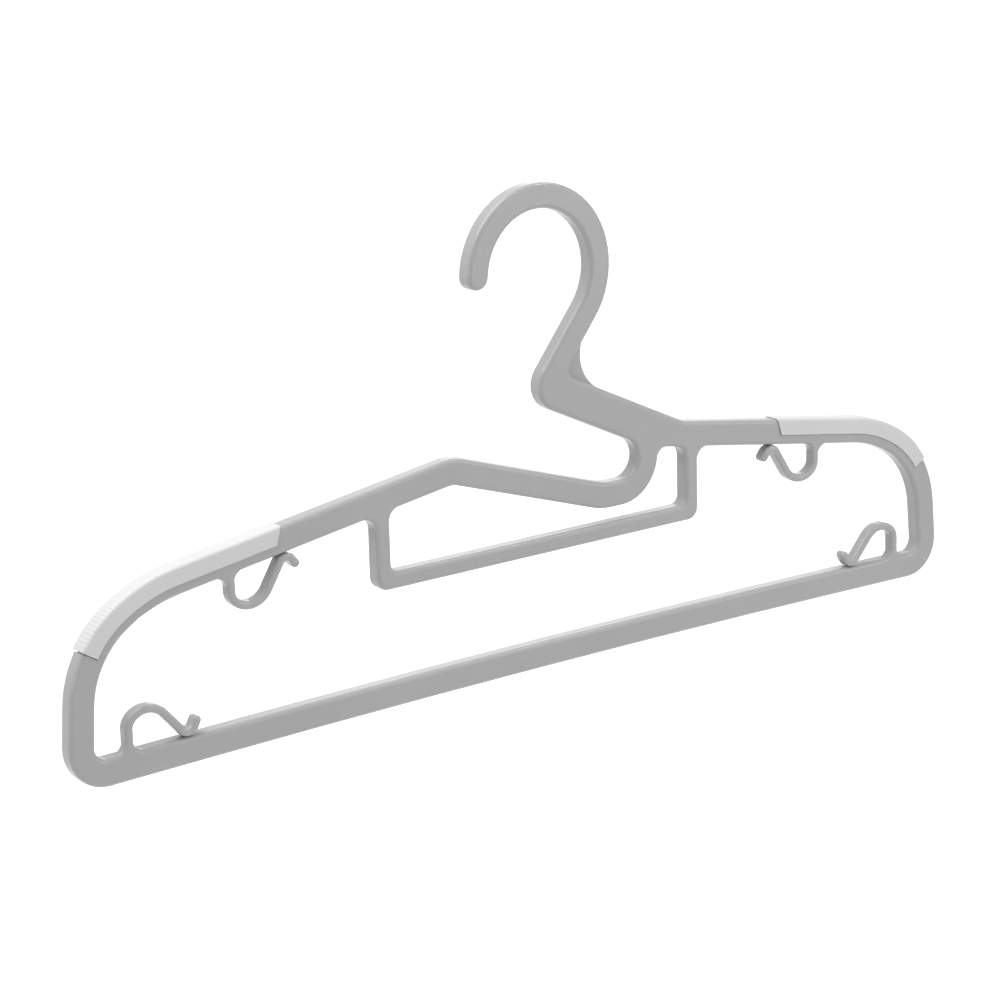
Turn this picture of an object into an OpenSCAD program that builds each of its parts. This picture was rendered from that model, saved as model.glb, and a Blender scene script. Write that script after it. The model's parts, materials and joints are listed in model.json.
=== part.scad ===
// One-piece moulded clothes hanger with an offset hook, four sprung clips and two soft shoulder grips.
// The outline is drawn in the XY plane, front side up, and stood upright by the upright() module.
// A path is a list of pieces: [length] runs straight, [radius, turn] bends left, or right if turn is negative.

/* [Overall] */
// Width of the hanger from post to post
overall_w = 421.6; // [380:1:460]
// Thickness of the frame from front to back
body_t = 7; // [6.4:0.1:10]
// Rounding of the long edges of the frame
edge_r = 1.6; // [0.8:0.1:2]
// Height of the centre of the hook above the lowest point of the frame
hook_h = 157.1; // [150:0.1:170]
// Distance of the centre of the hook from the middle of the hanger, to the right
hook_x = 0.9; // [-4:0.1:4]

/* [Outer frame] */
// Width of the beams of the outer frame, seen from the front
bar_w = 10.3; // [9:0.1:12]
// How much the middle of the trouser bar stands higher than its ends
bow_rise = 2.15; // [1:0.05:5]
// Straight length at each end of the trouser bar, which carries a clip
bow_end = 36; // [20:1:60]
// Radius of the lower corners, on the centre line
corner_r = 10.15; // [8:0.05:14]
// Lean of the side posts, wider at the bottom, in degrees
post_lean = 4.2; // [1:0.1:7]
// Straight length of the side posts
post_len = 14.6; // [8:0.1:20]
// Radius of the tight part of the upper corners, on the centre line
upper_r1 = 38.5; // [30:0.5:45]
// Turn of the tight part of the upper corners, in degrees
upper_turn1 = 53.9; // [45:0.1:60]
// Radius of the gentle part of the upper corners, on the centre line
upper_r2 = 60.3; // [50:0.1:80]
// Slope of the shoulders, in degrees
shoulder_slope = 8.7; // [7:0.05:10]

/* [Collar slot] */
// Distance of the shoulder's apex from the middle of the hanger
apex_x = 41.7; // [36:0.1:48]
// Radius of the bend at the apex, on the centre line
apex_r = 13.5; // [8:0.5:18]
// Fall of the collar arm, in degrees
arm_slope = 17.5; // [15:0.1:19]
// Radius of the bend at the low end of the collar arm, on the centre line
arm_r = 28; // [20:1:45]
// Distance of the centre of the slot's round end from the middle of the hanger
slot_x = 39.2; // [36:0.1:44]
// Radius of the slot's round end
slot_r = 8.1; // [7:0.1:10]
// Straight run between the low bend of the arm and the slot's round end
slot_run = 5; // [2:0.1:8]

/* [Neck and hook] */
// Width of the diagonal bar between the slot and the knee
diag_w = 14.6; // [12:0.1:17]
// Slope of the diagonal bar, in degrees
diag_slope = 25.3; // [22:0.1:28]
// Distance of the knee's centre from the middle of the hanger
knee_x = 9.5; // [6:0.1:12]
// Outer radius of the knee
knee_r = 10.3; // [9:0.1:13]
// Inside corner radius of the knee at the front face
knee_fillet = 4; // [3:0.1:6]
// Width of the neck and of the hook
hook_w = 9.8; // [8:0.1:10.2]
// Inside radius of the hook, which seats on a rail
hook_r = 24.1; // [20:0.1:26]
// Where the hook's tip ends, in degrees, with 180 at the level of its centre
hook_end = 176.5; // [150:0.5:190]
// Radius of the thin web in the inside corner of the knee
web_r = 16; // [12:0.5:18]
// Thickness of the web
web_t = 3; // [2:0.1:4]

/* [Tie bar] */
// Distance between the outer sides of the tie bar's posts
tie_w = 156; // [150:0.1:162]
// Width of the tie bar's posts
tie_post_w = 6.35; // [5.6:0.1:7.5]
// Height of the underside of the tie bar above the lowest point
tie_y = 47.5; // [42:0.1:52]
// Height of the tie bar's section
tie_bar_h = 6.6; // [5.6:0.1:7.5]
// Outer radius of the tie bar's lower corners
tie_corner_r = 4.9; // [3:0.1:5.5]
// Inner radius of the tie bar's lower corners
tie_inner_r = 3.5; // [2:0.1:5]
// Radius where the posts meet the shoulders
tie_root_r = 5; // [3:0.1:6]
// Radius where the slot's round end meets the right shoulder
hub_r = 4.3; // [3:0.1:5]

/* [Clips] */
// Thickness of a clip's arm, seen from the front
clip_w = 3.15; // [2.6:0.1:3.6]
// Depth of a clip from front to back, flush with the front of the frame
clip_t = 5; // [4:0.1:6]
// Rounding of the long edges of a clip
clip_edge = 1.1; // [0.6:0.1:1.2]
// Distance of the upper clips' roots from the side of the hanger
upper_root_x = 68.6; // [64:0.1:74]
// Distance of the lower clips' roots from the side of the hanger
lower_root_x = 24.3; // [23:0.1:28]
// Height of a clip's flexing root above the face of its bar
root_h = 5.1; // [4.8:0.1:6.5]
// Radius of the fillets between a clip's root and its bar
root_r = 4.5; // [3.5:0.1:4.6]
// Straight length of an upper clip above its first bend
upper_stem = 1.5; // [0.8:0.1:3]
// Straight length of a lower clip above its first bend
lower_stem = 3.2; // [1:0.1:4]
// Radius of a clip's first bend, on the centre line
clip_r1 = 5.5; // [4.5:0.1:7]
// Turn of a clip's first bend, in degrees
clip_turn1 = 53; // [40:1:65]
// Radius of a clip's main bend, on the centre line
clip_r2 = 9.3; // [8:0.1:10.5]
// Angle at which a clip's arm comes down to its bar, in degrees
clip_fall = 49.45; // [45:0.1:55]
// Radius of the curl that rests on the bar, on the centre line
curl_r = 3.15; // [2.5:0.1:4]
// Angle at which the curl lifts off the bar, in degrees
curl_lift = 62; // [50:0.1:80]
// Straight length at the tip of the curl
tip_len = 2.2; // [1:0.1:4]
// Running gap between a clip and the frame
clip_gap = 0.2; // [0.15:0.05:0.4]

/* [Grips] */
// How far a grip reaches down the front and the back from the top
grip_drop = 6.3; // [5:0.1:7.5]
// Wall of a grip
grip_wall = 1.4; // [1.2:0.1:1.6]
// How far a grip stands out of the frame
grip_proud = 0.5; // [0.2:0.05:0.7]
// Where a grip starts, in degrees along the tight part of the upper corner
grip_start = 27.5; // [15:0.5:40]
// Length of a grip along the straight shoulder
grip_run = 45; // [30:0.5:55]
// Slant of the grip's inner end, in degrees
grip_slant = 25; // [0:1:35]
// Fitting gap between a grip and its rebate
grip_gap = 0.15; // [0.05:0.05:0.2]

/* [Hidden] */
frame_colour = "#a3a5a7";
grip_colour = "#ecebe7";
clip_colour = "#a9abad";
// Pieces of a beam overlap by a lap, and every second one is a hair slimmer, so that they join into one solid
lap = 0.1;
hair = 0.01;
far = 60;
edge_fn = 16;
bend_fn = 54;
fillet_fn = 32;
clip_fn = 36;

// Rounded rectangle, w across the path and t from front to back, less the given amount all round
module section(w, t, r, less = 0) {
    x = w / 2 - less;
    y = t / 2 - less;
    square([2 * (x - r), 2 * y], center = true);
    square([2 * x, 2 * (y - r)], center = true);
    for (i = [-1, 1]) {
        for (k = [-1, 1]) translate([i * (x - r), k * (y - r)]) circle(r, $fn = edge_fn);
    }
}

// Pose at the end of one piece of a path, as [x, y, heading]
function step(p, s) =
    len(s) == 1
    ? [p.x + s[0] * cos(p.z), p.y + s[0] * sin(p.z), p.z]
    : let (side = sign(s[1]), c = p.z + 90 * side)
      [
          p.x + s[0] * (cos(c) + cos(c + s[1] + 180)),
          p.y + s[0] * (sin(c) + sin(c + s[1] + 180)),
          p.z + s[1]
      ];
function follow(p, path, i = 0) = i < len(path) ? follow(step(p, path[i]), path, i + 1) : p;

module at(p) translate([p.x, p.y, 0]) rotate(p.z) children();

// One straight piece of the child section, along +X, whose +X side lies left of the path
module straight(l, more = 0) {
    translate([-more, 0, 0]) rotate([90, 0, 90]) linear_extrude(l + 2 * more) children();
}

// One bend of the child section, starting along +X
module bend(r, turn, fn, more = 0) {
    extra = more / r * 180 / PI;
    if (turn > 0) {
        translate([0, r, 0]) rotate(-90 - extra) rotate_extrude(angle = turn + 2 * extra, $fn = fn)
            translate([r, 0]) mirror([1, 0]) children();
    } else {
        translate([0, -r, 0]) rotate(90 + turn - extra) rotate_extrude(angle = 2 * extra - turn, $fn = fn)
            translate([r, 0]) children();
    }
}

// A whole path: the first child is the section of its odd pieces, the second that of the slimmer even ones
module sweep(p, path, fn = bend_fn) {
    for (i = [0 : len(path) - 1]) {
        slim = i % 2;
        at(follow(p, [for (k = [0 : 1 : i - 1]) path[k]])) {
            if (len(path[i]) == 1) straight(path[i][0], slim * lap) children(slim);
            else bend(path[i][0], path[i][1], fn, slim * lap) children(slim);
        }
    }
}

// Part of a round end or corner with its centre on the axis
module pie(r, angle, t, e, fn = bend_fn) {
    extra = lap / r * 180 / PI;
    rotate(-extra) rotate_extrude(angle = angle + 2 * extra, $fn = fn) intersection() {
        section(2 * r, t, e, 2 * hair);
        translate([0, -t]) square([2 * r, 2 * t]);
    }
}

// Inside corner between two beams: centre o, from angle a to b, rounded along its open edges
module fillet(o, r, depth, a, b, t, e, less = 2 * hair) {
    translate([o.x, o.y, 0]) rotate(a) rotate_extrude(angle = b - a, $fn = fillet_fn)
        translate([r, 0]) intersection() {
            translate([depth, 0]) section(2 * depth, t, e, less);
            translate([0, -t]) square([depth, 2 * t]);
        }
}

// Depth of material that an inside corner needs behind its open edge
function corner_depth(r, e, half) = (r + e) / sin(half) - r;

module upright() translate([-hook_x, 0, -hook_h]) rotate([90, 0, 0]) children();
module frame_section(w = bar_w, less = 0) section(w, body_t, edge_r, less);
module clip_section(less = 0) section(clip_w, clip_t, clip_edge, less);
module frame_sweep(p, path, w = bar_w, fn = bend_fn) sweep(p, path, fn) {
    frame_section(w);
    frame_section(w, hair);
}
module flush() translate([0, 0, (body_t - clip_t) / 2]) children();

// Outer frame, from the middle of the trouser bar round the right side
corner = [overall_w / 2 - corner_r - bar_w / 2, corner_r + bar_w / 2];
bow = atan(2 * bow_rise / (corner.x + bow_end));
bow_x = corner.x - corner_r * sin(bow) - bow_end * cos(bow);
bow_r = bow_x / sin(bow);
bow_y = corner.y - corner_r * cos(bow) + bow_end * sin(bow) + bow_r * (1 - cos(bow));
bow_fn = round(360 / bow) * 5;
upper_turn2 = 90 - post_lean - upper_turn1 - shoulder_slope;
upper_turn = [[upper_r1, upper_turn1], [upper_r2, upper_turn2]];
bow_edge = [bow_x, bow_y - bow_r * (1 - cos(bow)), -bow];
side_path = [[bow_end], [corner_r, 90 + bow + post_lean], [post_len]];
side_start = follow(bow_edge, [side_path[0]]);
upper_start = follow(bow_edge, side_path);
shoulder_start = follow(upper_start, upper_turn);
apex_turn = shoulder_slope + arm_slope;
apex_cut = apex_r * tan(apex_turn / 2);
shoulder_len = (shoulder_start.x - apex_x) / cos(shoulder_slope) - apex_cut;
function shoulder_y(x) = shoulder_start.y + (shoulder_start.x - x) * tan(shoulder_slope);
under_drop = bar_w / 2 / cos(shoulder_slope);

// Collar arm and the slot's round end, from the left apex, drawn mirrored
slot_path_r = slot_r + bar_w / 2;
arm_cut = arm_r * tan(arm_slope / 2);
arm_reach = apex_x + slot_x - slot_run - arm_cut;
arm_len = arm_reach / cos(arm_slope) - apex_cut - arm_cut;
slot_turn = 180 - diag_slope;
arm_path = [
    [shoulder_len], [apex_r, apex_turn], [arm_len], [arm_r, -arm_slope], [slot_run], [slot_path_r, -slot_turn]
];
slot_start = follow(shoulder_start, [for (k = [0:4]) arm_path[k]]);
slot = [-slot_start.x, slot_start.y + slot_path_r];

// Diagonal bar, knee and neck
diag_dir = 180 - diag_slope;
diag_side = [sin(diag_slope), cos(diag_slope)];
diag_foot = slot + diag_side * (slot_r + diag_w / 2);
knee_foot = slot + diag_side * (slot_r + knee_r);
diag_len = (knee_foot.x - knee_x) / cos(diag_slope);
knee = knee_foot + diag_len * [cos(diag_dir), sin(diag_dir)];
hook = [hook_x, hook_h];
hook_path_r = hook_r + hook_w / 2;
knee_gap = norm(hook - knee);
knee_to_hook = atan2(hook.y - knee.y, hook.x - knee.x);
neck_dir = knee_to_hook - asin((hook_r + knee_r) / knee_gap);
neck_len = sqrt(pow(knee_gap, 2) - pow(hook_r + knee_r, 2));
neck_left = [-sin(neck_dir), cos(neck_dir)];
neck_start = knee + neck_left * (knee_r - hook_w / 2);
hook_turn = hook_end - (neck_dir - 90);
hook_start = [neck_start.x + neck_len * cos(neck_dir), neck_start.y + neck_len * sin(neck_dir), neck_dir];
hook_tip = follow(hook_start, [[hook_path_r, hook_turn]]);

// Length of the diagonal bar to where its top meets the top of the right shoulder
diag_top = knee + (diag_w - knee_r) * diag_side;
diag_drop = diag_top.y - shoulder_y(diag_top.x) - under_drop;
diag_reach = diag_drop / (sin(diag_slope) - cos(diag_slope) * tan(shoulder_slope)) + bar_w / 2;

// Inside corner of the knee, between the neck's right side and the top of the diagonal bar
corner_half = (neck_dir + diag_slope) / 2;
knee_corner_a = (knee_r - hook_w) / sin(2 * corner_half);
knee_corner_b = (diag_w - knee_r) / sin(2 * corner_half);
knee_corner = knee + knee_corner_b * [cos(neck_dir), sin(neck_dir)]
    - knee_corner_a * [cos(-diag_slope), sin(-diag_slope)];
function knee_centre(r) = knee_corner
    + r / sin(corner_half) * [cos(neck_dir - corner_half), sin(neck_dir - corner_half)];
// The knee's fillet reaches past the knee's centre, to where the flat face of the neck begins
knee_flat = knee + neck_left * (knee_r - hook_w + edge_r);
knee_depth = max(corner_depth(knee_fillet, edge_r, corner_half),
    norm(knee_centre(knee_fillet) - knee_flat) - knee_fillet + 2 * lap);

// Round hollow where the slot's end meets the underside of the right shoulder
hub_reach = slot_r + bar_w + hub_r;
hub_drop = under_drop + hub_r / cos(shoulder_slope);
hub_rise = shoulder_y(slot.x) - hub_drop - slot.y;
hub_cross = hub_rise * sin(shoulder_slope)
    + sqrt(pow(hub_reach, 2) - pow(hub_rise * cos(shoulder_slope), 2));
hub_x = slot.x + hub_cross * cos(shoulder_slope);
hub = [hub_x, shoulder_y(hub_x) - hub_drop];

module outer_frame() {
    at([-bow_edge.x, bow_edge.y, bow]) bend(bow_r, -2 * bow, bow_fn, lap) frame_section(bar_w, hair);
    for (side = [0, 1]) {
        mirror([side, 0, 0]) {
            frame_sweep(bow_edge, side_path);
            at(upper_start) bend(upper_r1, upper_turn1, bend_fn, lap) frame_section(bar_w, hair);
            at(follow(upper_start, [upper_turn[0]])) bend(upper_r2, upper_turn2, bend_fn) frame_section();
        }
    }
}

module left_shoulder() mirror([1, 0, 0]) {
    at(shoulder_start) straight(shoulder_len, lap) frame_section(bar_w, hair);
    frame_sweep(follow(shoulder_start, [arm_path[0]]), [for (k = [1:5]) arm_path[k]]);
}

module right_shoulder() {
    reach = (shoulder_start.x - slot.x - slot_r - bar_w * 0.4) / cos(shoulder_slope);
    to_slot = (atan2(slot.y - hub.y, slot.x - hub.x) + 360) % 360;
    at(shoulder_start) straight(reach, lap) frame_section(bar_w, hair);
    fillet(hub, hub_r, corner_depth(hub_r, edge_r, 45), 90 - shoulder_slope, to_slot, body_t, edge_r);
}

module neck_and_hook() {
    diag_end = knee + diag_side * (diag_w / 2 - knee_r);
    from = neck_dir + 90;
    to = 270 - diag_slope;
    cut_x = slot.x + slot_r + bar_w / 2;
    difference() {
        at([diag_end.x, diag_end.y, -diag_slope]) straight(diag_reach) frame_section(diag_w, hair);
        at([cut_x, shoulder_y(cut_x), -shoulder_slope]) translate([0, -far, -far]) cube([far, far, 2 * far]);
    }
    at([knee.x, knee.y, from]) pie(knee_r, to - from, body_t, edge_r);
    at([neck_start.x, neck_start.y, neck_dir]) straight(neck_len, lap) frame_section(hook_w, hair);
    at(hook_start) bend(hook_path_r, hook_turn, bend_fn) frame_section(hook_w);
    at([hook_tip.x, hook_tip.y, hook_tip.z - 90]) pie(hook_w / 2, 180, body_t, edge_r);
    fillet(knee_centre(knee_fillet), knee_fillet, knee_depth, from, to, body_t, edge_r, 3 * hair);
    fillet(knee_centre(web_r), web_r, hook_w - edge_r, from, to, web_t, 0.5);
}

// Half of the tie bar's frame, with one post
tie_x = tie_w / 2 - tie_post_w / 2;
module tie_half() {
    cx = tie_w / 2 - tie_corner_r;
    cy = tie_y + tie_corner_r;
    inner = tie_w / 2 - tie_post_w - tie_inner_r;
    frame_sweep([tie_x, cy - lap, 90], [[shoulder_y(tie_x) - cy]], tie_post_w);
    at([cx, cy, -90]) pie(tie_corner_r, 90, body_t, edge_r);
    fillet([inner, tie_y + tie_bar_h + tie_inner_r], tie_inner_r, corner_depth(tie_inner_r, edge_r, 45),
        -90, 0, body_t, edge_r);
    for (side = [-1, 1]) {
        x = tie_x + side * (tie_post_w / 2 + tie_root_r);
        y = shoulder_y(x) - under_drop - tie_root_r / cos(shoulder_slope);
        depth = corner_depth(tie_root_r, edge_r, 45 - side * shoulder_slope / 2);
        if (side < 0) fillet([x, y], tie_root_r, depth, 0, 90 - shoulder_slope, body_t, edge_r);
        else fillet([x, y], tie_root_r, depth, 90 - shoulder_slope, 180, body_t, edge_r);
    }
}
module tie_bar() {
    l = tie_w - 2 * tie_corner_r;
    at([-l / 2, tie_y + tie_bar_h / 2, 0]) straight(l, lap) frame_section(tie_bar_h, hair);
}

// Bar frame of a clip: the face of the bar is y = 0, the clip stands on +y and reaches to +x
upper_dir = 90 + shoulder_slope;
lower_dir = 90 - bow;
upper_root = overall_w / 2 - upper_root_x;
lower_root = overall_w / 2 - lower_root_x;
lower_face_y = side_start.y + (side_start.x - lower_root) * tan(bow) + bar_w / 2 / cos(bow);
module upper_bar_frame() translate([-upper_root, shoulder_y(upper_root) - under_drop, 0])
    rotate(shoulder_slope) mirror([0, 1, 0]) children();
module lower_bar_frame() translate([-lower_root, lower_face_y, 0]) rotate(bow) children();

// Stub of the frame that carries a clip, with a seat for the clip's round root
module stub(dir) {
    foot = 3;
    side_r = clip_w / 2 + root_r;
    flush() difference() {
        union() {
            translate([-(root_h + foot) / tan(dir), -foot, 0]) rotate(dir)
                straight((root_h + foot) / sin(dir)) clip_section();
            linear_extrude(clip_t - 2 * hair, center = true) polygon([
                [-clip_w * 0.3, root_r * 0.2], [clip_w * 0.3, root_r * 0.2],
                [clip_w * 0.9, -edge_r - hair], [-clip_w * 0.9, -edge_r - hair]
            ]);
            for (side = [-1, 1]) {
                x = side * side_r / sin(dir) + (root_r - root_h) / tan(dir);
                if (side > 0) fillet([x, root_r], root_r, clip_w * 0.75, dir + 90, 270, clip_t, edge_r);
                else fillet([x, root_r], root_r, clip_w * 0.75, 270, dir + 270, clip_t, edge_r);
            }
        }
        translate([0, root_h, 0]) cylinder(h = 2 * body_t, r = clip_w / 2 + clip_gap, center = true, $fn = clip_fn);
    }
}

// Sprung clip in its bar frame: round root, arch, arm and the curl that rests on the bar
module clip(dir, stem) {
    down = -clip_fall;
    mid = dir - clip_turn1;
    top_y = root_h + stem * sin(dir) + clip_r1 * (cos(mid) - cos(dir)) + clip_r2 * (cos(down) - cos(mid));
    fall = top_y - curl_r * (1 - cos(down)) - clip_w / 2 - clip_gap;
    path = [
        [stem], [clip_r1, -clip_turn1], [clip_r2, down - mid],
        [fall / sin(clip_fall)], [curl_r, clip_fall + curl_lift], [tip_len]
    ];
    root = [0, root_h, dir];
    tip = follow(root, path);
    flush() {
        sweep(root, path, clip_fn) {
            clip_section();
            clip_section(hair);
        }
        at([root.x, root.y, dir + 90]) pie(clip_w / 2, 180, clip_t, clip_edge, clip_fn);
        at([tip.x, tip.y, tip.z - 90]) pie(clip_w / 2, 180, clip_t, clip_edge, clip_fn);
    }
}

// Grip or its rebate: a wall round the outer side of the upper corner and the shoulder
rebate = grip_wall - grip_proud;
module wall_section(out, deep, drop, less = 0) {
    intersection() {
        difference() {
            section(bar_w + 2 * out, body_t + 2 * out, edge_r + out, less);
            section(bar_w - 2 * deep, body_t - 2 * deep, edge_r - rebate, -less);
        }
        translate([-far, -far]) square([far - bar_w / 2 + drop - less, 2 * far]);
    }
}
module grip_shape(out, gap) {
    run = grip_run + gap;
    start = grip_start - gap / upper_r1 * 180 / PI;
    path = [[upper_r1, upper_turn1 - start], [upper_r2, upper_turn2], [run + far / 4]];
    end = follow(shoulder_start, [[run]]);
    difference() {
        sweep(follow(upper_start, [[upper_r1, start]]), path) {
            wall_section(out, rebate + gap, grip_drop + gap);
            wall_section(out, rebate + gap, grip_drop + gap, hair);
        }
        at(end) translate([0, -bar_w / 2, 0]) rotate(grip_slant) translate([0, -far, -far]) cube(2 * far);
    }
}

module frame() {
    color(frame_colour) upright() {
        difference() {
            union() {
                outer_frame();
                left_shoulder();
                right_shoulder();
                neck_and_hook();
                tie_bar();
                for (side = [0, 1]) mirror([side, 0, 0]) tie_half();
            }
            for (side = [0, 1]) mirror([side, 0, 0]) grip_shape(1, grip_gap);
        }
        for (side = [0, 1]) {
            mirror([side, 0, 0]) {
                upper_bar_frame() stub(upper_dir);
                lower_bar_frame() stub(lower_dir);
            }
        }
    }
}

module right_grip() color(grip_colour) upright() grip_shape(grip_proud, 0);
module left_grip() color(grip_colour) upright() mirror([1, 0, 0]) grip_shape(grip_proud, 0);
module upper_left_clip() color(clip_colour) upright() upper_bar_frame() clip(upper_dir, upper_stem);
module lower_left_clip() color(clip_colour) upright() lower_bar_frame() clip(lower_dir, lower_stem);
module upper_right_clip() {
    color(clip_colour) upright() mirror([1, 0, 0]) upper_bar_frame() clip(upper_dir, upper_stem);
}
module lower_right_clip() {
    color(clip_colour) upright() mirror([1, 0, 0]) lower_bar_frame() clip(lower_dir, lower_stem);
}

frame();
left_grip();
right_grip();
upper_left_clip();
upper_right_clip();
lower_left_clip();
lower_right_clip();
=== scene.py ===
# %% [markdown]
# # A moulded clothes hanger
# The hanger is one grey plastic moulding with two soft white grips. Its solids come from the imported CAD
# model, so this lesson only gives them a camera, light and finishes, and makes what solids leave out:
# arms that bend without a seam, and grips with fine ribs.

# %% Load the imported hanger
import json
import math

import bmesh
import bpy
from mathutils import Matrix, Vector


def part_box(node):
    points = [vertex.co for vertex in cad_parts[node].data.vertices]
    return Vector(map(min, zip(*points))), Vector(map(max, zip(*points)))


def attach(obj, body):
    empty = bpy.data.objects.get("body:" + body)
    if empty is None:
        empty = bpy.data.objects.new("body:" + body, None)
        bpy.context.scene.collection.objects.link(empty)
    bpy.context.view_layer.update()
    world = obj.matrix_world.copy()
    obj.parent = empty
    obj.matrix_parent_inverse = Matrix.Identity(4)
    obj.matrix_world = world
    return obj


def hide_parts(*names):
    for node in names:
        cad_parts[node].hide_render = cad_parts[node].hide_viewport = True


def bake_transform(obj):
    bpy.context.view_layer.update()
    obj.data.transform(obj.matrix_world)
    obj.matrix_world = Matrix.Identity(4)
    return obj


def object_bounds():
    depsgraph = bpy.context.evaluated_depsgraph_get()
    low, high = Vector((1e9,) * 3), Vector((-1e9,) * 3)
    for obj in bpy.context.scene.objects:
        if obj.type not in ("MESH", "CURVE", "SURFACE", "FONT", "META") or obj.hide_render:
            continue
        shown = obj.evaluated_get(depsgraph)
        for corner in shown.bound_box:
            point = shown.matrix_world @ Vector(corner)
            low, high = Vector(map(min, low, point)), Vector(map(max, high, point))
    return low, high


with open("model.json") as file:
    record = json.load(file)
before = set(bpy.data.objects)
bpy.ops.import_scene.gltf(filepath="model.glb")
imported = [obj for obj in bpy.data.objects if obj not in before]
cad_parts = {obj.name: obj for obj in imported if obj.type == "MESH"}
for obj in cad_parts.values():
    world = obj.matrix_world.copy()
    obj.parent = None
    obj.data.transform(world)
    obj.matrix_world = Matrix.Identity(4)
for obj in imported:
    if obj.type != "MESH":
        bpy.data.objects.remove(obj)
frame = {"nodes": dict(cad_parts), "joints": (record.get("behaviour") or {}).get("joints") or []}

MM = 0.001
cad_low, cad_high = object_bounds()
middle_x = (cad_low[0] + cad_high[0]) / 2
print("nodes:", ", ".join(sorted(frame["nodes"])))
print("size in mm:", [round((high - low) / MM, 1) for low, high in zip(cad_low, cad_high)])

# %% [markdown]
# Shader trees and geometry trees are both made of nodes with settings and links. One small function adds
# a node of any kind, so that the cells below read as lists of what goes in. Colours are written as hex
# values, as a designer picks them, and Blender wants linear light, so one function turns them.


# %% Small helpers
def add(tree, kind, inputs=None, **settings):
    """A node with its settings; an input takes a value or another node's output."""
    node = tree.nodes.new(kind)
    for name, value in settings.items():
        setattr(node, name, value)
    for name, value in (inputs or {}).items():
        socket = node.inputs[name]
        if isinstance(value, bpy.types.NodeSocket):
            tree.links.new(value, socket)
        else:
            socket.default_value = value
    return node


def linear(hex_colour):
    """Linear RGBA of an sRGB hex colour."""
    parts = [int(hex_colour[i : i + 2], 16) / 255 for i in (1, 3, 5)]
    return [p / 12.92 if p <= 0.04045 else ((p + 0.055) / 1.055) ** 2.4 for p in parts] + [1.0]


def new_object(name, data):
    made = bpy.data.objects.new(name, data)
    bpy.context.scene.collection.objects.link(made)
    return made


# %% [markdown]
# The photograph was taken with a long lens, from the left and a little above. The camera stands at the
# same place, measured from the middle of the hanger's underside, and is turned and tilted the same way.

# %% The camera
CAMERA_FROM_BASE = Vector((-707.1, -913.2, 373.5)) * MM
CAMERA_YAW = math.radians(37.02)
CAMERA_PITCH = math.radians(14.78)
CAMERA_ROLL = math.radians(1.53)
LENS_MM = 112.3

forward = Vector((math.sin(CAMERA_YAW) * math.cos(CAMERA_PITCH),
                  math.cos(CAMERA_YAW) * math.cos(CAMERA_PITCH), -math.sin(CAMERA_PITCH)))
level_right = Vector((math.cos(CAMERA_YAW), -math.sin(CAMERA_YAW), 0))
level_down = forward.cross(level_right)
right = math.cos(CAMERA_ROLL) * level_right + math.sin(CAMERA_ROLL) * level_down
down = -math.sin(CAMERA_ROLL) * level_right + math.cos(CAMERA_ROLL) * level_down

camera = new_object("camera", bpy.data.cameras.new("camera"))
camera.data.lens = LENS_MM
camera.data.clip_start = 0.05
base = Vector((middle_x, 0, cad_low[2]))
turned = Matrix((right, -down, -forward)).transposed().to_4x4()
camera.matrix_world = Matrix.Translation(base + CAMERA_FROM_BASE) @ turned
bpy.context.scene.camera = camera
print("camera at", [round(c, 3) for c in camera.location], "lens", LENS_MM, "mm")

# %% [markdown]
# It is a product photograph on white. The floor and the sky are white to the camera only, through Light
# Path's Is Camera Ray, so that they don't flood the grey plastic with light. Is Glossy Ray joins it,
# because a satin bar mirrors the same white that the camera sees. The hanger hangs above the floor.

# %% Floor and sky
FLOOR_DROP, FLOOR_REACH = 0.30, 6.0  # metres below the hanger, and to each side of its middle
PAPER_GLOW = 0.8
SKY_LEVEL = 0.46

scene = bpy.context.scene
scene.view_settings.view_transform = "Standard"


def white_to_camera(tree):
    """1 for rays that show the background: from the camera, in gloss or through glass."""
    path = add(tree, "ShaderNodeLightPath")
    gloss = add(tree, "ShaderNodeMath", {0: path.outputs["Is Camera Ray"], 1: path.outputs["Is Glossy Ray"]},
                operation="MAXIMUM")
    return add(tree, "ShaderNodeMath", {0: gloss.outputs[0], 1: path.outputs["Is Transmission Ray"]},
               operation="MAXIMUM").outputs[0]


world = bpy.data.worlds.new("white studio")
scene.world = world
world.use_nodes = True
sky = world.node_tree
sky.nodes.clear()
lit = add(sky, "ShaderNodeBackground", {"Color": linear("#ffffff"), "Strength": SKY_LEVEL})
seen = add(sky, "ShaderNodeBackground", {"Color": linear("#ffffff"), "Strength": 1.0})
mixed = add(sky, "ShaderNodeMixShader", {0: white_to_camera(sky), 1: lit.outputs[0], 2: seen.outputs[0]})
add(sky, "ShaderNodeOutputWorld", {"Surface": mixed.outputs[0]})

floor_mesh = bpy.data.meshes.new("studio floor")
floor_corners = [(x * FLOOR_REACH, y * FLOOR_REACH, 0) for x, y in ((-1, -1), (1, -1), (1, 1), (-1, 1))]
floor_mesh.from_pydata(floor_corners, [], [(0, 1, 2, 3)])
floor_mesh.transform(Matrix.Translation((middle_x, 0, cad_low[2] - FLOOR_DROP)))
floor = new_object("studio_floor", floor_mesh)
paper = bpy.data.materials.new("matt white studio paper")
paper.use_nodes = True
tree = paper.node_tree
tree.nodes.clear()
matt = add(tree, "ShaderNodeBsdfDiffuse", {"Color": linear("#ebebeb")})
glow = add(tree, "ShaderNodeEmission", {"Color": linear("#ffffff"), "Strength": PAPER_GLOW})
both = add(tree, "ShaderNodeAddShader", {0: matt.outputs[0], 1: glow.outputs[0]})
shown = add(tree, "ShaderNodeMixShader", {0: white_to_camera(tree), 1: matt.outputs[0], 2: both.outputs[0]})
add(tree, "ShaderNodeOutputMaterial", {"Surface": shown.outputs[0]})
floor_mesh.materials.append(paper)
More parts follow.
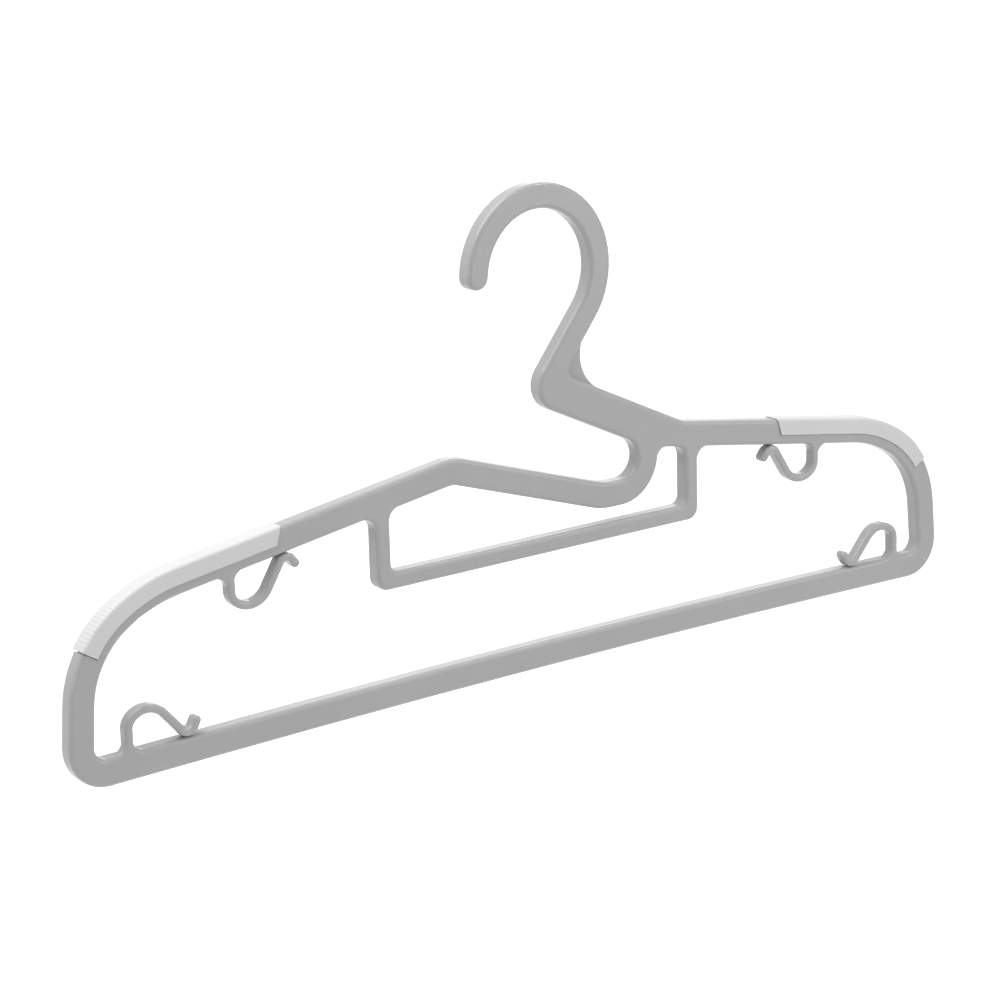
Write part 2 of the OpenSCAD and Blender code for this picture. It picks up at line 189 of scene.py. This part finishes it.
print("floor at", round(cad_low[2] - FLOOR_DROP, 3), "m, sky level", SKY_LEVEL)

# %% [markdown]
# One broad lamp above makes the top faces of the bars brighter than their fronts, and a weaker one at the
# front right fills the fronts. Two small lamps add little light, but they shine back from the rounded
# edges as thin bright lines. The last one stands low behind the hanger, where the tops of the bars mirror
# it towards the camera.

# %% Lamps
LAMPS = [  # name, place from the hanger's centre and size in metres, watts
    ("top_softbox", (-0.45, 0.1, 1.0), 1.0, 12.5),
    ("front_softbox", (1.2, -1.4, 0.2), 1.0, 7.4),
    ("right_edge_lamp", (0.77, -0.30, 0.96), 0.15, 2.4),
    ("left_edge_lamp", (-1.17, -0.45, 0.13), 0.15, 0.9),
    ("back_softbox", (0.77, 0.99, 0.33), 0.5, 0.9),
]


def lamp(name, place, target, size, watts):
    """A square soft lamp at place, turned towards target."""
    data = bpy.data.lights.new(name, "AREA")
    data.shape = "SQUARE"
    data.size = size
    data.energy = watts
    made = new_object(name, data)
    turn = (target - place).to_track_quat("-Z", "Y")
    made.matrix_world = Matrix.Translation(place) @ turn.to_matrix().to_4x4()
    return made


centre = Vector((middle_x, 0, (cad_low[2] + cad_high[2]) / 2))
for name, offset, size, watts in LAMPS:
    lamp(name, centre + Vector(offset), centre, size, watts)

# %% [markdown]
# The body is polypropylene, pigmented grey and injection-moulded in a lightly spark-eroded tool. That
# gives a soft satin sheen, a very fine grain and hardly any change of colour. The two halves of the tool
# meet at mid thickness and leave a hair line round the sides of every bar.


# %% Finish of the moulded body
GRAIN_MM = 0.5  # the real grain is about 0.1 mm, drawn coarser so that it shows
FLOW_MM = 45.0
PARTING_LINE_MM = 0.12
PARTING_LINE_HEIGHT = 1.5  # in depths of the grain
GRAIN_STRENGTH = 0.35
GLOSS_SPREAD = 0.05


def per_metre(size_mm):
    """Noise scale whose features are about size_mm wide on Object coordinates in metres."""
    return 1 / (size_mm * MM)


def finish(name, light, dark, roughness, ior, grain_mm, grain_depth_mm, parting_line=False):
    """A moulded surface: two close colours drifting over each other and a fine grain."""
    made = bpy.data.materials.new(name)
    made.use_nodes = True
    tree = made.node_tree
    tree.nodes.clear()
    place = add(tree, "ShaderNodeTexCoord").outputs["Object"]
    drift = add(tree, "ShaderNodeTexNoise", {"Vector": place, "Scale": per_metre(FLOW_MM), "Detail": 3.0})
    ramp = add(tree, "ShaderNodeValToRGB", {"Fac": drift.outputs["Fac"]})
    ramp.color_ramp.elements[0].position = 0.3
    ramp.color_ramp.elements[0].color = linear(dark)
    ramp.color_ramp.elements[1].position = 0.7
    ramp.color_ramp.elements[1].color = linear(light)
    grain = add(tree, "ShaderNodeTexNoise", {"Vector": place, "Scale": per_metre(grain_mm), "Detail": 2.0})
    height = grain.outputs["Fac"]
    if parting_line:
        side = add(tree, "ShaderNodeSeparateXYZ", {0: place}).outputs["Y"]
        away = add(tree, "ShaderNodeMath", {0: side}, operation="ABSOLUTE").outputs[0]
        line = add(tree, "ShaderNodeMapRange", {
            "Value": away, "From Min": 0.0, "From Max": PARTING_LINE_MM * MM,
            "To Min": PARTING_LINE_HEIGHT, "To Max": 0.0}).outputs[0]
        height = add(tree, "ShaderNodeMath", {0: height, 1: line}, operation="ADD").outputs[0]
    bump = add(tree, "ShaderNodeBump", {"Strength": GRAIN_STRENGTH, "Distance": grain_depth_mm * MM,
                                        "Height": height})
    gloss = add(tree, "ShaderNodeMapRange", {"Value": grain.outputs["Fac"], "To Min": roughness - GLOSS_SPREAD,
                                             "To Max": roughness + GLOSS_SPREAD}).outputs[0]
    surface = add(tree, "ShaderNodeBsdfPrincipled", {"Base Color": ramp.outputs["Color"], "Roughness": gloss,
                                                     "IOR": ior, "Normal": bump.outputs["Normal"]})
    add(tree, "ShaderNodeOutputMaterial", {"Surface": surface.outputs[0]})
    return made


GREY_LIGHT, GREY_DARK, PP_IOR = "#a9a9a9", "#a5a5a5", 1.49
grey_pp = finish("injection-moulded grey polypropylene", GREY_LIGHT, GREY_DARK, roughness=0.26, ior=PP_IOR,
                 grain_mm=GRAIN_MM, grain_depth_mm=0.03, parting_line=True)
body = frame["nodes"]["frame"]
body.data.materials.clear()
body.data.materials.append(grey_pp)
print("body finish:", grey_pp.name)

# %% [markdown]
# The clips are the same plastic from the same tool, which is polished where it forms them, so they shine
# more than the bars and hardly show the grain. That is a lower roughness and a shallower bump.

# %% Finish of the clips
polished_pp = finish("tool-polished grey polypropylene", GREY_LIGHT, GREY_DARK, roughness=0.15, ior=PP_IOR,
                     grain_mm=GRAIN_MM, grain_depth_mm=0.012)
print("clip finish:", polished_pp.name)

# %% [markdown]
# The grips are a soft thermoplastic elastomer, moulded over the shoulders. It is nearly white and duller
# than the body, with no parting line on the outside.

# %% Finish of the soft grips
white_tpe = finish("over-moulded white thermoplastic elastomer", "#d4d4d4", "#d0d0d0", roughness=0.5, ior=1.5,
                   grain_mm=GRAIN_MM, grain_depth_mm=0.02)
print("grip finish:", white_tpe.name)

# %% [markdown]
# Bars, clips and grips follow chains of straights and round bends. A chain is written as in the part's
# own source: [length] runs straight and [radius, turn] bends to the left, or to the right if the turn is
# negative. This cell turns a chain into close points, and a section with rounded corners into a profile.


# %% Points along a chain, and rounded sections
def along(pose, chain, step_mm=0.4):
    """Points in the XZ plane along a chain from pose, and the pose at its end, as x, z and heading."""
    x, z, heading = pose
    points = [(x, z)]
    for piece in chain:
        turn = piece[1] if len(piece) == 2 else 0.0
        length = piece[0] * math.radians(abs(turn)) if turn else piece[0]
        count = max(1, round(length / step_mm))
        half = turn / count / 2
        chord = 2 * piece[0] * math.sin(math.radians(abs(half))) if turn else length / count
        for _ in range(count):
            heading += half
            x += chord * math.cos(math.radians(heading))
            z += chord * math.sin(math.radians(heading))
            heading += half
            points.append((x, z))
    return points, (x, z, heading)


def rounded(corners, longest_mm, segments=5):
    """A closed outline through corners of (x, y, radius), in millimetres, with no edge over longest_mm."""
    outline = []
    for i, (x, y, radius) in enumerate(corners):
        corner = Vector((x, y))
        before = (Vector(corners[i - 1][:2]) - corner).normalized()
        after = (Vector(corners[(i + 1) % len(corners)][:2]) - corner).normalized()
        middle = corner + (before + after) * radius
        for k in range(segments + 1):
            a = math.radians(90 * k / segments)
            outline.append(middle - after * radius * math.cos(a) - before * radius * math.sin(a))
    filled = []
    for here, there in zip(outline, outline[1:] + outline[:1]):
        pieces = max(1, math.ceil((there - here).length / longest_mm))
        filled += [here.lerp(there, k / pieces) for k in range(pieces)]
    return filled


def poly_curve(name, points, closed=False):
    """A curve object through points of three coordinates in millimetres."""
    data = bpy.data.curves.new(name, "CURVE")
    data.dimensions = "3D"
    spline = data.splines.new("POLY")
    spline.points.add(len(points) - 1)
    spline.use_cyclic_u = closed
    for point, place in zip(spline.points, points):
        point.co = (*(c * MM for c in place), 1)
    return new_object(name, data)


print("a 10 mm straight and a 5 mm bend end at", [round(c, 2) for c in along((0, 0, 0), [[10], [5, 90]])[1]])

# %% [markdown]
# The grips and the clips sit on the outer frame, which is one chain of straights and bends. Its sizes are
# repeated from the part's source, in millimetres.

# %% The outer frame's chain
OVERALL_WIDTH, BAR_WIDTH = 421.6, 10.3
BOW_RISE, BOW_END = 2.15, 36.0
CORNER_RADIUS = 10.15
POST_LEAN, POST_LENGTH = 4.2, 14.6
TIGHT_RADIUS, TIGHT_TURN = 38.5, 53.9
GENTLE_RADIUS = 60.3
SHOULDER_SLOPE = 8.7
GRIP_FROM_TURN = 27.5

corner_x = OVERALL_WIDTH / 2 - CORNER_RADIUS - BAR_WIDTH / 2
bow_angle = math.degrees(math.atan(2 * BOW_RISE / (corner_x + BOW_END)))
corner_start = (middle_x / MM + corner_x - CORNER_RADIUS * math.sin(math.radians(bow_angle)),
                cad_low[2] / MM + CORNER_RADIUS * (1 - math.cos(math.radians(bow_angle))) + BAR_WIDTH / 2,
                -bow_angle)
_, grip_start = along(corner_start, [[CORNER_RADIUS, 90 + bow_angle + POST_LEAN], [POST_LENGTH],
                                     [TIGHT_RADIUS, GRIP_FROM_TURN]])
gentle_turn = 90 - POST_LEAN - TIGHT_TURN - SHOULDER_SLOPE
grip_chain = [[TIGHT_RADIUS, TIGHT_TURN - GRIP_FROM_TURN], [GENTLE_RADIUS, gentle_turn]]
print("the right grip starts at", [round(c, 2) for c in grip_start])

# %% [markdown]
# Two kinds of piece follow a path, so each gets a geometry tree with named inputs. Both start alike: the
# path keeps a fixed side, is given its section, and every point of the new surface remembers the point of
# the path it came from, how far along it lies, and how far it is from the nearer end.


# %% Nodes that both trees share
MERGE_MM = 0.002


def new_tree(name, inputs):
    """A geometry tree with the named inputs, and its group input node."""
    tree = bpy.data.node_groups.new(name, "GeometryNodeTree")
    for label, kind in [("Path", "Geometry"), ("Section", "Object"), ("Material", "Material"), *inputs]:
        tree.interface.new_socket(label, in_out="INPUT", socket_type="NodeSocket" + kind)
    tree.interface.new_socket("Mesh", in_out="OUTPUT", socket_type="NodeSocketGeometry")
    return tree, add(tree, "NodeGroupInput").outputs


def math_node(tree, operation, *values, **settings):
    return add(tree, "ShaderNodeMath", dict(enumerate(values)), operation=operation, **settings).outputs[0]


def vector_node(tree, operation, *values, out="Vector", **names):
    inputs = {**dict(enumerate(values)), **names}
    return add(tree, "ShaderNodeVectorMath", inputs, operation=operation).outputs[out]


def round_share(tree, to_end, radius):
    """What a round end of that radius leaves of the full size, by the rule of a circle."""
    near = math_node(tree, "DIVIDE", to_end, radius, use_clamp=True)
    sunk = math_node(tree, "SUBTRACT", 1.0, near)
    return math_node(tree, "SQRT", math_node(tree, "SUBTRACT", 1.0, math_node(tree, "POWER", sunk, 2.0)))


def swept(tree, given, caps):
    """The section along the path, with what each point remembers of the path."""
    turned = add(tree, "GeometryNodeSetCurveNormal", {"Curve": given["Path"], "Normal": (0.0, 1.0, 0.0)},
                 mode="FREE")
    travelled = add(tree, "GeometryNodeSplineParameter").outputs["Length"]
    whole = add(tree, "GeometryNodeSplineLength").outputs["Length"]
    left = math_node(tree, "SUBTRACT", whole, travelled)
    facts = {"centre": ("VECTOR", add(tree, "GeometryNodeInputPosition").outputs[0]),
             "tangent": ("VECTOR", add(tree, "GeometryNodeInputTangent").outputs[0]),
             "travelled": ("FLOAT", travelled), "left": ("FLOAT", left),
             "to_end": ("FLOAT", math_node(tree, "MINIMUM", travelled, left))}
    memory = add(tree, "GeometryNodeCaptureAttribute", {"Geometry": turned.outputs[0]}, domain="POINT")
    for label, (kind, value) in facts.items():
        memory.capture_items.new(kind, label)
        tree.links.new(value, memory.inputs[label])
    section = add(tree, "GeometryNodeObjectInfo", {"Object": given["Section"]}).outputs["Geometry"]
    surface = add(tree, "GeometryNodeCurveToMesh", {
        "Curve": memory.outputs["Geometry"], "Profile Curve": section, "Fill Caps": caps}).outputs[0]
    return surface, {label: memory.outputs[label] for label in facts}


def end_tree(tree, geometry, material):
    """Merges the points that fall together and closes the tree."""
    merged = add(tree, "GeometryNodeMergeByDistance", {
        "Geometry": geometry, "Distance": MERGE_MM * MM}).outputs[0]
    real = add(tree, "GeometryNodeRealizeInstances", {"Geometry": merged}).outputs[0]
    dressed = add(tree, "GeometryNodeSetMaterial", {"Geometry": real, "Material": material}).outputs[0]
    add(tree, "NodeGroupOutput", {"Mesh": dressed})


# %% [markdown]
# A modifier runs a tree on a path. Its result is read as a plain mesh, with its place in its points, and
# the path and the section go. Mirroring turns a shape inside out, so the normals are recalculated each
# time. The smoothing stops at edges that are meant to be sharp.


# %% From a tree to a finished piece
SLIVER_MM = 0.0005


def made_by(tree, name, path, section, values):
    """Runs a tree on the path and gives a plain mesh object, closed, smooth and facing outwards."""
    modifier = path.modifiers.new(name, "NODES")
    modifier.node_group = tree
    values = {**values, "Section": section}
    for socket in tree.interface.items_tree:
        if socket.in_out == "INPUT" and socket.name in values:
            modifier[socket.identifier] = values[socket.name]
    ready = path.evaluated_get(bpy.context.evaluated_depsgraph_get())
    mesh = bpy.data.meshes.new_from_object(ready)
    mesh.name = name
    for helper in (path, section):
        bpy.data.objects.remove(helper)
    tidy(mesh)
    return new_object(name, mesh)


def tidy(mesh, sharp_degrees=40):
    """Takes slivers out, turns the faces outwards and smooths the mesh up to its sharp edges."""
    shell = bmesh.new()
    shell.from_mesh(mesh)
    bmesh.ops.dissolve_degenerate(shell, edges=shell.edges, dist=SLIVER_MM * MM)
    bmesh.ops.recalc_face_normals(shell, faces=shell.faces)
    open_edges = sum(not edge.is_manifold for edge in shell.edges)
    shell.to_mesh(mesh)
    shell.free()
    mesh.polygons.foreach_set("use_smooth", [True] * len(mesh.polygons))
    mesh.set_sharp_from_angle(angle=math.radians(sharp_degrees))
    print(mesh.name, "has", len(mesh.polygons), "faces and", open_edges, "open edges")


def print_fit(piece, node):
    """Prints how far the box of a piece is from the box of the solid that it stands for."""
    places = [v.co for v in piece.data.vertices]
    box = [[pick(p[i] for p in places) for i in range(3)] for pick in (min, max)]
    off = [max(abs(a - b) for a, b in zip(here, there)) / MM for here, there in zip(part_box(node), box)]
    print(piece.name, "differs from its solid's box by", [round(o, 2) for o in off], "mm")


def mirrored(piece, name):
    """The same piece on the other side of the hanger."""
    mesh = piece.data.copy()
    mesh.name = name
    mesh.transform(Matrix.Translation((2 * middle_x, 0, 0)) @ Matrix.Scale(-1, 4, (1, 0, 0)))
    tidy(mesh)
    return new_object(name, mesh)


# %% [markdown]
# A clip is one unbroken arm on the real hanger: it grows out of its bar, arches over and comes back down
# to a curl that presses on the bar. The solids cut it at its root so that it can move. Here one arm starts
# inside that stub, covers the cut and bends there. The tree draws the section in towards the middle of the
# arm at both ends, by the rule of a circle, which gives the blunt round tip without a cap.

# %% The tree of a clip's arm
arm_tree, given = new_tree("arm with round ends", [("End radius", "Float"), ("Edge share", "Float")])
surface, path_facts = swept(arm_tree, given, False)
width_share = round_share(arm_tree, path_facts["to_end"], given["End radius"])
lost = math_node(arm_tree, "SUBTRACT", 1.0, width_share)
depth_share = math_node(arm_tree, "SUBTRACT", 1.0, math_node(arm_tree, "MULTIPLY", lost, given["Edge share"]))
shares = add(arm_tree, "ShaderNodeCombineXYZ", {
    "X": width_share, "Y": depth_share, "Z": width_share}).outputs[0]
place = add(arm_tree, "GeometryNodeInputPosition").outputs[0]
offset = vector_node(arm_tree, "SUBTRACT", place, path_facts["centre"])
across = vector_node(arm_tree, "MULTIPLY", offset, shares)
moved = add(arm_tree, "GeometryNodeSetPosition", {"Geometry": surface, "Position": vector_node(
    arm_tree, "ADD", path_facts["centre"], across)}).outputs[0]
end_tree(arm_tree, moved, given["Material"])
print("arm tree:", len(arm_tree.nodes), "nodes")

# %% [markdown]
# The arms repeat the sizes of the part's clips, in millimetres and degrees. The fall to the curl is worked
# out from the rest, so that the curl ends just clear of its bar.

# %% The chain of a clip
CLIP_WIDTH, CLIP_DEPTH, CLIP_EDGE, CLIP_GAP = 3.15, 5.0, 1.1, 0.2
ROOT_HEIGHT = 5.1
FIRST_BEND_RADIUS, FIRST_BEND_TURN = 5.5, 53.0
MAIN_BEND_RADIUS = 9.3
FALL_ANGLE = 49.45
CURL_RADIUS, CURL_LIFT, TIP_LENGTH = 3.15, 62.0, 2.2
UPPER_STEM, LOWER_STEM = 1.5, 3.2


def cos_deg(angle):
    return math.cos(math.radians(angle))


def sin_deg(angle):
    return math.sin(math.radians(angle))


def clip_chain(lean, stem, side):
    """Chain of a clip from its hinge to its tip; lean is its stem's angle to its bar."""
    middle = lean - FIRST_BEND_TURN
    top = (ROOT_HEIGHT + stem * sin_deg(lean) + FIRST_BEND_RADIUS * (cos_deg(middle) - cos_deg(lean))
           + MAIN_BEND_RADIUS * (cos_deg(FALL_ANGLE) - cos_deg(middle)))
    fall = top - CURL_RADIUS * (1 - cos_deg(FALL_ANGLE)) - CLIP_WIDTH / 2 - CLIP_GAP
    return [[stem], [FIRST_BEND_RADIUS, side * FIRST_BEND_TURN],
            [MAIN_BEND_RADIUS, side * (FALL_ANGLE + middle)], [fall / sin_deg(FALL_ANGLE)],
            [CURL_RADIUS, -side * (FALL_ANGLE + CURL_LIFT)], [TIP_LENGTH]]


upper_chain = clip_chain(90 + SHOULDER_SLOPE, UPPER_STEM, 1)
lower_chain = clip_chain(90 - bow_angle, LOWER_STEM, -1)
print("the straight to the curl is", round(upper_chain[3][0], 2), "mm on an upper clip and",
      round(lower_chain[3][0], 2), "mm on a lower one")

# %% [markdown]
# Each arm starts inside its stub and is a hair larger than the solid, so that no seam of the stub shows
# through. It bends from a little below its hinge to a little above it, and the rest follows the clip. The
# left arms are made and the right ones mirror them.

# %% The four clips
BODY_THICKNESS = 7.0
CLIP_COVER = 0.03
INSIDE_STUB = 3.2
CLIP_FACE_MM = 0.8
hinges = {joint["child"]: joint["pos_m"] for joint in frame["joints"]}


def round_end(radius, steps=8):
    """Short straights that get shorter towards the end of a half circle."""
    return [[radius * (sin_deg(90 * (i + 1) / steps) - sin_deg(90 * i / steps))] for i in range(steps)]


def clip_arm(node, heading, chain):
    """An arm from inside its stub to its round tip."""
    half = CLIP_WIDTH / 2 + CLIP_COVER
    deep = CLIP_DEPTH / 2 + CLIP_COVER
    chain = round_end(half)[::-1] + [[INSIDE_STUB - half]] + chain + round_end(half)
    x, _, z = (c / MM for c in hinges[node])
    points, _ = along((x, z - INSIDE_STUB * sin_deg(heading), heading), chain)
    y = (CLIP_DEPTH - BODY_THICKNESS) / 2
    path = poly_curve(node + " path", [(px, y, pz) for px, pz in points])
    corners = [(x * deep, y * half, CLIP_EDGE) for x, y in ((-1, -1), (1, -1), (1, 1), (-1, 1))]
    section = poly_curve(node + " section", [(*p, 0) for p in rounded(corners, CLIP_FACE_MM)], closed=True)
    return made_by(arm_tree, node + "_arm", path, section, {
        "End radius": half * MM, "Edge share": CLIP_EDGE / deep, "Material": polished_pp})


def fit_clip(arm, node):
    """Prints how an arm fits its node's solid, hides that solid and bakes the arm's place into its points."""
    print_fit(arm, node)
    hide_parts(node)
    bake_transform(arm)


for place, heading, chain in (("upper", -90, upper_chain), ("lower", 90, lower_chain)):
    arm = clip_arm(place + "_left_clip", heading, chain)
    twin = mirrored(arm, place + "_right_clip_arm")
    fit_clip(arm, place + "_left_clip")
    fit_clip(twin, place + "_right_clip")

# %% [markdown]
# A grip is a soft wall moulded round the top of the upper corner and the shoulder. Its section is a C that
# reaches down the front and the back. The real one has fine ribs across its top, which stop straps from
# sliding off. The tree pushes the surface out in half waves along the path, fully on the top and less and
# less over its rounded edges. It also rounds both ends and slants the inner one.

# %% The tree of a grip
grip_tree, given = new_tree("ribbed wall along a path", [
    ("Rib pitch", "Float"), ("Rib height", "Float"), ("Rib floor", "Float"), ("Rib fade", "Float"),
    ("End radius", "Float"), ("Slant", "Float"), ("Slant from", "Float"), ("Slant length", "Float")])
surface, path_facts = swept(grip_tree, given, True)
place = add(grip_tree, "GeometryNodeInputPosition").outputs[0]
offset = vector_node(grip_tree, "SUBTRACT", place, path_facts["centre"])
inward = vector_node(grip_tree, "CROSS_PRODUCT", path_facts["tangent"], (0.0, 1.0, 0.0))
height = vector_node(grip_tree, "DOT_PRODUCT", offset, inward, out="Value")

phase = math_node(grip_tree, "DIVIDE", path_facts["travelled"], given["Rib pitch"])
half_turns = math_node(grip_tree, "MULTIPLY", phase, math.pi)
wave = math_node(grip_tree, "ABSOLUTE", math_node(grip_tree, "SINE", half_turns))
on_top = add(grip_tree, "ShaderNodeMapRange", {
    "Value": height, "From Min": math_node(grip_tree, "ADD", given["Rib floor"], given["Rib fade"]),
    "From Max": given["Rib floor"], "To Min": 0.0, "To Max": 1.0}, interpolation_type="SMOOTHSTEP").outputs[0]
clear = math_node(grip_tree, "DIVIDE", path_facts["to_end"], given["Rib pitch"], use_clamp=True)
rib = math_node(grip_tree, "MULTIPLY", math_node(grip_tree, "MULTIPLY", wave, on_top),
                math_node(grip_tree, "MULTIPLY", clear, given["Rib height"]))

kept_share = round_share(grip_tree, path_facts["to_end"], given["End radius"])
inset = math_node(grip_tree, "MULTIPLY", math_node(grip_tree, "SUBTRACT", 1.0, kept_share), given["End radius"])
outward = add(grip_tree, "GeometryNodeInputNormal").outputs[0]
raised = vector_node(grip_tree, "SCALE", outward, Scale=math_node(grip_tree, "SUBTRACT", rib, inset))

slant_share = add(grip_tree, "ShaderNodeMapRange", {
    "Value": path_facts["left"], "From Min": given["Slant length"], "From Max": 0.0,
    "To Min": 0.0, "To Max": 1.0}).outputs[0]
slant_reach = math_node(grip_tree, "MULTIPLY", math_node(grip_tree, "SUBTRACT", given["Slant from"], height),
                        math_node(grip_tree, "TANGENT", given["Slant"]))
slanted = vector_node(grip_tree, "SCALE", path_facts["tangent"],
                      Scale=math_node(grip_tree, "MULTIPLY", slant_reach, slant_share))
moved = add(grip_tree, "GeometryNodeSetPosition", {
    "Geometry": surface, "Offset": vector_node(grip_tree, "ADD", raised, slanted)}).outputs[0]
end_tree(grip_tree, moved, given["Material"])
print("grip tree:", len(grip_tree.nodes), "nodes")

# %% [markdown]
# The grips follow the same chain as the outer frame. The right one is made and the left one mirrors it.

# %% The two grips
GRIP_WALL, GRIP_PROUD, GRIP_DROP = 1.4, 0.5, 6.3
GRIP_RUN, GRIP_SLANT = 45.0, 25.0
EDGE_RADIUS = 1.6
RIM_RADIUS = 0.35
RIB_PITCH, RIB_HEIGHT = 1.45, 0.11
RIB_EDGE, RIB_FADE = 0.5, 0.9  # how far below the top the ribs start to fade, and over what depth
CRISP_EDGE = 1.3  # the real grip has a crisper outer edge than its solid
SLANT_LENGTH = 6.0
GRIP_STEP, GRIP_FACE_MM = 0.2, 0.7

deep = BODY_THICKNESS / 2 + GRIP_PROUD
top = -BAR_WIDTH / 2 - GRIP_PROUD
rim = GRIP_DROP - BAR_WIDTH / 2
inner_edge = EDGE_RADIUS - (GRIP_WALL - GRIP_PROUD)
section_corners = [
    (-deep, rim, RIM_RADIUS), (-deep, top, CRISP_EDGE), (deep, top, CRISP_EDGE), (deep, rim, RIM_RADIUS),
    (deep - GRIP_WALL, rim, RIM_RADIUS), (deep - GRIP_WALL, top + GRIP_WALL, inner_edge),
    (GRIP_WALL - deep, top + GRIP_WALL, inner_edge), (GRIP_WALL - deep, rim, RIM_RADIUS)]
section = poly_curve("grip section", [(*p, 0) for p in rounded(section_corners, GRIP_FACE_MM)], closed=True)
points, _ = along(grip_start, grip_chain + [[GRIP_RUN]], GRIP_STEP)
path = poly_curve("grip path", [(x, 0, z) for x, z in points])
right_cover = made_by(grip_tree, "right_shoulder_grip", path, section, {
    "Rib pitch": RIB_PITCH * MM, "Rib height": RIB_HEIGHT * MM, "Rib floor": (top + RIB_EDGE) * MM,
    "Rib fade": RIB_FADE * MM, "End radius": RIM_RADIUS * MM, "Slant": math.radians(GRIP_SLANT),
    "Slant from": -BAR_WIDTH / 2 * MM, "Slant length": SLANT_LENGTH * MM, "Material": white_tpe})
left_cover = mirrored(right_cover, "left_shoulder_grip")
for cover, node in ((left_cover, "left_grip"), (right_cover, "right_grip")):
    print_fit(cover, node)
    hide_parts(node)
    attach(cover, "hanger")
